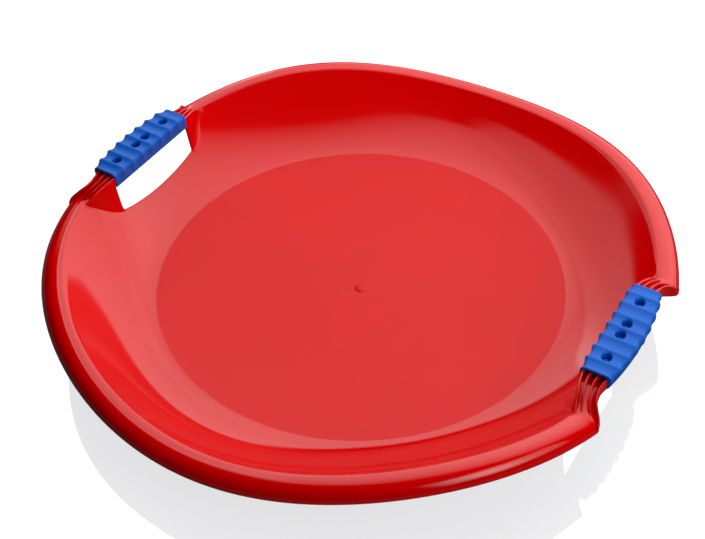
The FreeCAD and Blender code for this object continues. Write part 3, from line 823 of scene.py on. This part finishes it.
def new_piece(name, solid, weld, sharp):
    """Object from vertices and faces: welded, without empty faces, all normals outwards."""
    verts, faces = solid
    mesh = bpy.data.meshes.new(name)
    mesh.from_pydata([v * MM for v in verts], [], faces)
    mesh.update()
    obj = add_object(name, mesh)
    work = bmesh.new()
    work.from_mesh(mesh)
    bmesh.ops.remove_doubles(work, verts=work.verts, dist=weld * MM)
    bmesh.ops.dissolve_degenerate(work, edges=work.edges, dist=0.5 * weld * MM)
    bmesh.ops.recalc_face_normals(work, faces=work.faces)
    work.to_mesh(mesh)
    work.free()
    shade(obj, sharp)
    mesh.update()
    return obj


def apply_boolean(obj, other, operation):
    modifier = obj.modifiers.new("cut", "BOOLEAN")
    modifier.operation = operation
    modifier.solver = "EXACT"
    modifier.object = other
    bpy.context.view_layer.update()
    evaluated = obj.evaluated_get(bpy.context.evaluated_depsgraph_get())
    result = bpy.data.meshes.new_from_object(evaluated)
    obj.modifiers.clear()
    obj.data = result
    bpy.data.objects.remove(other)


def at_posts(name, make, profile, side):
    """A solid of revolution at each of a grip's four posts, as one object."""
    places = [(POST_X * side, pitch * RIDGE_PITCH) for pitch in POST_PITCHES]
    solid = merge([make(profile, place) for place in places])
    return new_piece(name, solid, FINE_WELD, GRIP_SHARP)


def make_grip(side, name):
    grip = new_piece(name, side_copy(*grip_shell(), side), FINE_WELD, GRIP_SHARP)
    apply_boolean(grip, at_posts("holes", capped, HOLE_CUT, side), "DIFFERENCE")
    apply_boolean(grip, at_posts("bosses", ring_solid, BOSS_LOOP, side), "UNION")
    shade(grip, GRIP_SHARP)
    return grip


def make_tray(side, name):
    tray = new_piece(name, side_copy(*grip_tray(), side), FINE_WELD, GRIP_SHARP)
    apply_boolean(tray, at_posts("posts", capped, POST, side), "UNION")
    shade(tray, GRIP_SHARP)
    return tray


# Materials

RED_LOW = (0.63, 0.0, 0.0, 1)
RED_HIGH = (0.68, 0.0, 0.0004, 1)
RED_CLOUD_SCALE, RED_CLOUD_DETAIL = 9.0, 3.0
RED_GRAIN_SCALE = 900.0
RED_GRAIN_STRENGTH = 0.22
GLOSS_ROUGH = 0.05
GLOSS_VARIATION = 0.05
GLOSS_SHINE = 0.5
MATTE_ROUGH = 0.45
MATTE_SHINE = 0.27

BLUE_LOW = (0.0, 0.096, 0.50, 1)
BLUE_HIGH = (0.0, 0.110, 0.555, 1)
BLUE_CLOUD_SCALE, BLUE_CLOUD_DETAIL = 25.0, 4.0
BLUE_GRAIN_SCALE = 1400.0
BLUE_GRAIN_STRENGTH = 0.15
BLUE_ROUGH = 0.42
BLUE_VARIATION = 0.1
BLUE_SHINE = 0.23

CLOUD_FROM, CLOUD_TO = 0.3, 0.7
GRAIN_DETAIL = 2.0
GRAIN_DEPTH = 0.00015  # metres
PLASTIC_IOR = 1.5


def grey(value):
    return (value, value, value, 1)


class Graph:
    """Short ways to add nodes to a node tree."""

    def __init__(self, tree):
        self.nodes = tree.nodes
        self.links = tree.links

    def feed(self, socket, value):
        """Sets an input to a value, or links another node's output to it."""
        if isinstance(value, bpy.types.NodeSocket):
            self.links.new(value, socket)
        else:
            socket.default_value = value

    def add(self, kind, inputs=None):
        node = self.nodes.new(kind)
        for key, value in (inputs or {}).items():
            self.feed(node.inputs[key], value)
        return node

    def math(self, operation, a, b=None):
        node = self.add("ShaderNodeMath")
        node.operation = operation
        self.feed(node.inputs[0], a)
        if b is not None:
            self.feed(node.inputs[1], b)
        return node.outputs[0]

    def dot(self, source, axis):
        node = self.add("ShaderNodeVectorMath")
        node.operation = "DOT_PRODUCT"
        self.feed(node.inputs[0], source)
        self.feed(node.inputs[1], axis)
        return node.outputs["Value"]

    def noise(self, at, scale, detail):
        inputs = {"Vector": at, "Scale": scale, "Detail": detail}
        return self.add("ShaderNodeTexNoise", inputs).outputs["Fac"]

    def ramp(self, at, stops):
        """Colour by a value from 0 to 1: stops as (place, colour)."""
        node = self.add("ShaderNodeValToRGB", {"Fac": at})
        elements = node.color_ramp.elements
        while len(elements) < len(stops):
            elements.new(0.5)
        for element, (place, colour) in zip(elements, stops):
            element.position = place
            element.color = colour
        return node.outputs["Color"]

    def level(self, at, stops):
        """Level by a length or an angle: stops as (place, level from 0 to 1)."""
        low, high = stops[0][0], stops[-1][0]
        part = self.math("DIVIDE", self.math("SUBTRACT", at, low), high - low)
        return self.ramp(part, [((place - low) / (high - low), grey(v)) for place, v in stops])


def new_material(name):
    material = bpy.data.materials.new(name)
    material.use_nodes = True
    return material, Graph(material.node_tree)


def add_grain(graph, shader, at, scale, strength):
    """Fine grain in the surface."""
    grain = graph.noise(at, scale, GRAIN_DETAIL)
    inputs = {"Distance": GRAIN_DEPTH, "Strength": strength, "Height": grain}
    graph.feed(shader["Normal"], graph.add("ShaderNodeBump", inputs).outputs["Normal"])


def dish_material():
    """Glossy red, with a matte round floor inside the dish."""
    material, graph = new_material("red_plastic")
    shader = graph.nodes["Principled BSDF"].inputs
    at = graph.add("ShaderNodeTexCoord").outputs["Object"]
    split = graph.add("ShaderNodeSeparateXYZ", {0: at}).outputs
    squares = [graph.math("MULTIPLY", split[i], split[i]) for i in (0, 1)]
    radius = graph.math("SQRT", graph.math("ADD", *squares))
    normal = graph.add("ShaderNodeNewGeometry").outputs["True Normal"]
    facing = graph.add("ShaderNodeSeparateXYZ", {0: normal}).outputs
    upward = graph.math("GREATER_THAN", facing[2], 0.0)
    inside = graph.math("LESS_THAN", radius, FLOOR_RADIUS * MM)
    matte = graph.math("MULTIPLY", inside, upward)
    cloud = graph.noise(at, RED_CLOUD_SCALE, RED_CLOUD_DETAIL)
    colour = graph.ramp(cloud, [(CLOUD_FROM, RED_LOW), (CLOUD_TO, RED_HIGH)])
    graph.feed(shader["Base Color"], colour)
    rough = graph.math("ADD", graph.math("MULTIPLY", cloud, GLOSS_VARIATION), GLOSS_ROUGH)
    rougher = graph.math("MULTIPLY", matte, MATTE_ROUGH - GLOSS_ROUGH)
    graph.feed(shader["Roughness"], graph.math("ADD", rough, rougher))
    shine = graph.math("MULTIPLY", matte, MATTE_SHINE - GLOSS_SHINE)
    graph.feed(shader["Specular IOR Level"], graph.math("ADD", shine, GLOSS_SHINE))
    strength = graph.math("MULTIPLY", matte, RED_GRAIN_STRENGTH)
    add_grain(graph, shader, at, RED_GRAIN_SCALE, strength)
    graph.feed(shader["IOR"], PLASTIC_IOR)
    return material


def grip_material():
    """Satin blue."""
    material, graph = new_material("blue_plastic")
    shader = graph.nodes["Principled BSDF"].inputs
    at = graph.add("ShaderNodeTexCoord").outputs["Object"]
    cloud = graph.noise(at, BLUE_CLOUD_SCALE, BLUE_CLOUD_DETAIL)
    colour = graph.ramp(cloud, [(CLOUD_FROM, BLUE_LOW), (CLOUD_TO, BLUE_HIGH)])
    graph.feed(shader["Base Color"], colour)
    rough = graph.math("ADD", graph.math("MULTIPLY", cloud, BLUE_VARIATION), BLUE_ROUGH)
    graph.feed(shader["Roughness"], rough)
    add_grain(graph, shader, at, BLUE_GRAIN_SCALE, BLUE_GRAIN_STRENGTH)
    graph.feed(shader["IOR"], PLASTIC_IOR)
    graph.feed(shader["Specular IOR Level"], BLUE_SHINE)
    return material


def paint(piece, material):
    piece.data.materials.clear()
    piece.data.materials.append(material)


red = dish_material()
blue = grip_material()

dish = new_piece("dish", all_quarters(*quarter()), DISH_WELD, DISH_SHARP)
fin_sets = [all_quarters(*fin_solid(share)) for share in FIN_SHARES]
fins = new_piece("bar_fins", merge(fin_sets), FINE_WELD, FIN_SHARP)
nub = new_piece("moulding_nub", nub_solid(), FINE_WELD, FIN_SHARP)
for piece in (dish, fins, nub):
    paint(piece, red)
    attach(piece, "root")
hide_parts("dish_shell")

for side, word in ((1, "right"), (-1, "left")):
    grip = make_grip(side, word + "_grip_shell")
    paint(grip, blue)
    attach(grip, "root")
    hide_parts(word + "_grip_upper")
    tray = make_tray(side, word + "_grip_tray")
    paint(tray, blue)
    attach(tray, "root")
    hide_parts(word + "_grip_lower")

# Camera, as the photograph was taken; the room is laid out by its directions, in metres
AZIMUTH, ELEVATION, ROLL = (math.radians(a) for a in (32.713, 43.597, -1.7145))
AWAY = Vector((-math.sin(AZIMUTH), math.cos(AZIMUTH), 0))
ASIDE = Vector((math.cos(AZIMUTH), math.sin(AZIMUTH), 0))
ABOVE = Vector((0, 0, 1))
CAMERA_PLACE = Vector((433.2, -688.0, 802.8)) * MM
FOCAL_PIXELS = 1172.72
PHOTO_WIDTH = 705
SENSOR_WIDTH = 36.0
CLIP_END = 50.0


def put_at(obj, x_axis, y_axis, z_axis, origin):
    place = Matrix((x_axis, y_axis, z_axis)).transposed().to_4x4()
    place.translation = origin
    obj.matrix_world = place


def make_camera():
    flat = math.cos(ELEVATION)
    back = Vector((math.sin(AZIMUTH) * flat, -math.cos(AZIMUTH) * flat, math.sin(ELEVATION)))
    level_up = back.cross(ASIDE)
    right = ASIDE * math.cos(ROLL) + level_up * math.sin(ROLL)
    up = level_up * math.cos(ROLL) - ASIDE * math.sin(ROLL)
    data = bpy.data.cameras.new("camera")
    data.sensor_width = SENSOR_WIDTH
    data.lens = SENSOR_WIDTH * FOCAL_PIXELS / PHOTO_WIDTH
    data.clip_end = CLIP_END
    camera = add_object("camera", data)
    put_at(camera, right, up, back, CAMERA_PLACE)
    bpy.context.scene.camera = camera


make_camera()

# Floor: pale and faintly mirroring for the camera, dark for all other rays
FLOOR_SIZE = 6.0
FLOOR_PLACE = -0.0004
FLOOR_UNSEEN = grey(0.03)
FLOOR_SHADE = grey(0.06)
FLOOR_GLOW = (0.70, 0.705, 0.72, 1)
FLOOR_MIRROR = grey(0.14)
FLOOR_MIRROR_ROUGH = 0.03


def floor_material():
    material, graph = new_material("floor")
    graph.nodes.clear()
    unseen = graph.add("ShaderNodeBsdfDiffuse", {"Color": FLOOR_UNSEEN})
    shadow = graph.add("ShaderNodeBsdfDiffuse", {"Color": FLOOR_SHADE})
    glow = graph.add("ShaderNodeEmission", {"Color": FLOOR_GLOW})
    gloss = {"Color": FLOOR_MIRROR, "Roughness": FLOOR_MIRROR_ROUGH}
    mirror = graph.add("ShaderNodeBsdfGlossy", gloss)
    seen = graph.add("ShaderNodeAddShader", {0: shadow.outputs[0], 1: mirror.outputs[0]})
    seen = graph.add("ShaderNodeAddShader", {0: seen.outputs[0], 1: glow.outputs[0]})
    camera_ray = graph.add("ShaderNodeLightPath").outputs["Is Camera Ray"]
    choice = {0: camera_ray, 1: unseen.outputs[0], 2: seen.outputs[0]}
    surface = graph.add("ShaderNodeMixShader", choice).outputs[0]
    graph.add("ShaderNodeOutputMaterial", {0: surface})
    return material


def make_floor():
    s = FLOOR_SIZE
    mesh = bpy.data.meshes.new("floor")
    mesh.from_pydata([(-s, -s, 0), (s, -s, 0), (s, s, 0), (-s, s, 0)], [], [(0, 1, 2, 3)])
    mesh.materials.append(floor_material())
    obj = add_object("floor", mesh)
    obj.location.z = FLOOR_PLACE
    return obj


floor = make_floor()

# Light: a soft box over the sled, a pale panel at the left, a fill light, a window in front at
# the right, and a room that is bright behind the sled


def soft_box(name, centre, axes, width, length, strength, profiles):
    """Area lamp whose level varies along the given axes: profiles as (axis, stops)."""
    data = bpy.data.lights.new(name, "AREA")
    data.shape = "RECTANGLE"
    data.size = width
    data.size_y = length
    data.energy = math.pi * width * length
    data.use_nodes = True
    graph = Graph(data.node_tree)
    place = graph.add("ShaderNodeNewGeometry").outputs["Position"]
    total = None
    for axis, stops in profiles:
        value = graph.level(graph.dot(place, axis), stops)
        total = value if total is None else graph.math("MULTIPLY", total, value)
    total = graph.math("MULTIPLY", total, strength)
    graph.feed(graph.nodes["Emission"].inputs["Strength"], total)
    lamp = add_object(name, data)
    put_at(lamp, *axes, axes[0].cross(axes[1]), centre)
    lamp.visible_camera = False
    return lamp


def middle_of(axis, low, high):
    return axis * (low + high) / 2


EVEN = [(AWAY, [(-1.0, 1.0), (1.0, 1.0)])]  # the same level all over a lamp

BOX_LEVEL = 2.6
BOX_HEIGHT = 1.2
BOX_LEFT, BOX_RIGHT = -0.50, 3.6
BOX_FRONT, BOX_END = -0.29, 2.6
soft_box(
    "soft_box",
    middle_of(ASIDE, BOX_LEFT, BOX_RIGHT) + middle_of(AWAY, BOX_FRONT, BOX_END)
    + ABOVE * BOX_HEIGHT,
    (ASIDE, AWAY), BOX_RIGHT - BOX_LEFT, BOX_END - BOX_FRONT, BOX_LEVEL,
    [
        (AWAY, [
            (BOX_FRONT, 0.0), (-0.22, 0.16), (-0.12, 0.32), (0.0, 0.48), (0.11, 0.60),
            (0.22, 0.69), (0.32, 0.76), (0.56, 0.88), (0.84, 0.97), (1.07, 1.0),
            (1.42, 0.85), (1.8, 0.6), (BOX_END, 0.0),
        ]),
        (AWAY + ASIDE * 0.9, [(-0.8, 0.0), (-0.37, 0.0), (-0.27, 1.0), (6.0, 1.0)]),
        (ASIDE, [
            (BOX_LEFT, 0.0), (-0.38, 0.58), (-0.25, 0.68), (0.0, 0.74), (0.22, 0.82),
            (0.56, 0.92), (0.9, 0.92), (BOX_RIGHT, 0.92),
        ]),
    ],
)

PANEL_LEVEL = 1.57
PANEL_PLACE = -0.33
PANEL_FRONT, PANEL_END = -0.02, 2.0
PANEL_LOW, PANEL_HIGH = 0.14, 1.08
soft_box(
    "left_panel",
    ASIDE * PANEL_PLACE + middle_of(AWAY, PANEL_FRONT, PANEL_END)
    + middle_of(ABOVE, PANEL_LOW, PANEL_HIGH),
    (AWAY, ABOVE * -1), PANEL_END - PANEL_FRONT, PANEL_HIGH - PANEL_LOW, PANEL_LEVEL,
    [
        (AWAY, [
            (PANEL_FRONT, 0.0), (0.06, 0.15), (0.16, 0.6), (0.3, 0.85), (0.6, 0.9),
            (PANEL_END, 1.0),
        ]),
        (ABOVE + AWAY * 0.6, [
            (0.1, 0.6), (0.56, 0.64), (0.61, 0.68), (0.77, 0.74), (1.2, 1.0), (2.3, 1.0),
        ]),
        (ABOVE + AWAY, [(0.1, 0.0), (0.724, 0.0), (0.752, 1.0), (3.1, 1.0)]),
        (ABOVE + AWAY * 0.25, [(0.1, 0.0), (0.390, 0.0), (0.412, 1.0), (1.6, 1.0)]),
        (ABOVE, [(PANEL_LOW, 1.0), (0.90, 1.0), (PANEL_HIGH, 0.0)]),
    ],
)

# A fill light close over the dish, not mirrored in it
FILL_LEVEL = 1.5
FILL_PLACE = ASIDE * 0.1 + AWAY * 0.05 + ABOVE * 0.8
FILL_WIDTH, FILL_LENGTH = 0.6, 0.5
fill = soft_box("fill", FILL_PLACE, (ASIDE, AWAY), FILL_WIDTH, FILL_LENGTH, FILL_LEVEL, EVEN)
fill.visible_glossy = False

# A window in front at the right, mirrored along the near rim
WINDOW_LEVEL = 5.0
WINDOW_PLACE = ASIDE * 0.62 - AWAY * 0.78 + ABOVE * 0.60
WINDOW_WIDTH, WINDOW_LENGTH = 0.96, 0.68
WINDOW_SIDE = (ASIDE * 0.703 + AWAY * 0.711).normalized()
WINDOW_UP = (ABOVE * 0.807 - ASIDE * 0.418 + AWAY * 0.413).normalized()
soft_box(
    "window", WINDOW_PLACE, (WINDOW_SIDE, WINDOW_UP), WINDOW_WIDTH, WINDOW_LENGTH, WINDOW_LEVEL,
    [
        (WINDOW_SIDE, [
            (-0.60, 0.0), (-0.43, 0.45), (-0.20, 0.95), (-0.08, 1.0), (0.14, 0.45), (0.36, 0.2),
        ]),
        (WINDOW_UP, [(-0.43, 0.0), (-0.26, 0.8), (-0.10, 1.0), (0.06, 0.9), (0.24, 0.0)]),
    ],
)

# The floor's own light, which keeps it pale where it mirrors the dark parts of the room
FLOOR_BOX_LEVEL = 2.0
FLOOR_BOX_HEIGHT = 2.5
FLOOR_BOX_SIZE = 400.0
floor_box = soft_box(
    "floor_box", ABOVE * FLOOR_BOX_HEIGHT, (ASIDE, AWAY),
    FLOOR_BOX_SIZE, FLOOR_BOX_SIZE, FLOOR_BOX_LEVEL, EVEN,
)
floor_only = bpy.data.collections.new("floor_only")
floor_only.objects.link(floor)
floor_box.light_linking.receiver_collection = floor_only

# Levels of the room by angle in degrees: over the top to the back, and across to the right
DEGREE = math.radians(1)
HALF_TURN = 180
ROOM_LEVEL = 1.95
ROOM_OVER = [
    (-180, 0.0), (54, 0.0), (60, 0.42), (66, 0.87), (72, 0.88), (90, 0.81), (180, 0.81),
]
ROOM_ACROSS = [
    (-90, 0.0), (-22, 0.0), (-13, 0.80), (-9, 0.92), (7, 0.95), (26, 0.90), (45, 0.84), (90, 0.8),
]
# Where the bright room ends at the back, as an angle over the top for each angle across
ROOM_END = [(-90, 80), (-6, 80), (-3, 77), (0, 75), (5, 85), (26, 87), (32, 110), (90, 110)]
ROOM_END_BLUR = 4
# The room in front at the right, which lights but isn't mirrored
FRONT_LEVEL = 0.9
FRONT_OVER = [(-180, 0.0), (-82, 0.0), (-64, 1.0), (-34, 1.0), (-8, 0.0), (180, 0.0)]
FRONT_ACROSS = [(-90, 0.0), (0, 0.0), (20, 0.7), (35, 1.0), (60, 0.8), (90, 0.0)]


def make_room():
    """The room's light; the camera itself sees plain white past the floor."""
    world = bpy.data.worlds.new("room")
    bpy.context.scene.world = world
    world.use_nodes = True
    graph = Graph(world.node_tree)
    background = graph.nodes["Background"].inputs
    graph.feed(background["Color"], grey(1))
    ray = graph.add("ShaderNodeTexCoord").outputs["Generated"]
    over = graph.math("ARCTAN2", graph.dot(ray, AWAY), graph.dot(ray, ABOVE))
    over = graph.math("DIVIDE", over, DEGREE)
    across = graph.math("DIVIDE", graph.math("ARCSINE", graph.dot(ray, ASIDE)), DEGREE)

    def by_angles(over_stops, across_stops):
        a, b = graph.level(over, over_stops), graph.level(across, across_stops)
        return graph.math("MULTIPLY", a, b)

    end = graph.level(across, [(at, angle / HALF_TURN) for at, angle in ROOM_END])
    end = graph.math("SUBTRACT", graph.math("MULTIPLY", end, HALF_TURN), over)
    end = graph.math("ADD", graph.math("DIVIDE", end, ROOM_END_BLUR), 0.5)
    end.node.use_clamp = True
    behind = graph.math("MULTIPLY", by_angles(ROOM_OVER, ROOM_ACROSS), end)
    behind = graph.math("MULTIPLY", behind, ROOM_LEVEL)
    rays = graph.add("ShaderNodeLightPath").outputs
    front = graph.math("MULTIPLY", by_angles(FRONT_OVER, FRONT_ACROSS), FRONT_LEVEL)
    front = graph.math("MULTIPLY", front, rays["Is Diffuse Ray"])
    hidden = graph.math("SUBTRACT", 1.0, rays["Is Camera Ray"])
    lit = graph.math("MULTIPLY", graph.math("ADD", behind, front), hidden)
    graph.feed(background["Strength"], graph.math("ADD", lit, rays["Is Camera Ray"]))


make_room()

bpy.context.scene.view_settings.view_transform = "Standard"

bpy.context.view_layer.update()
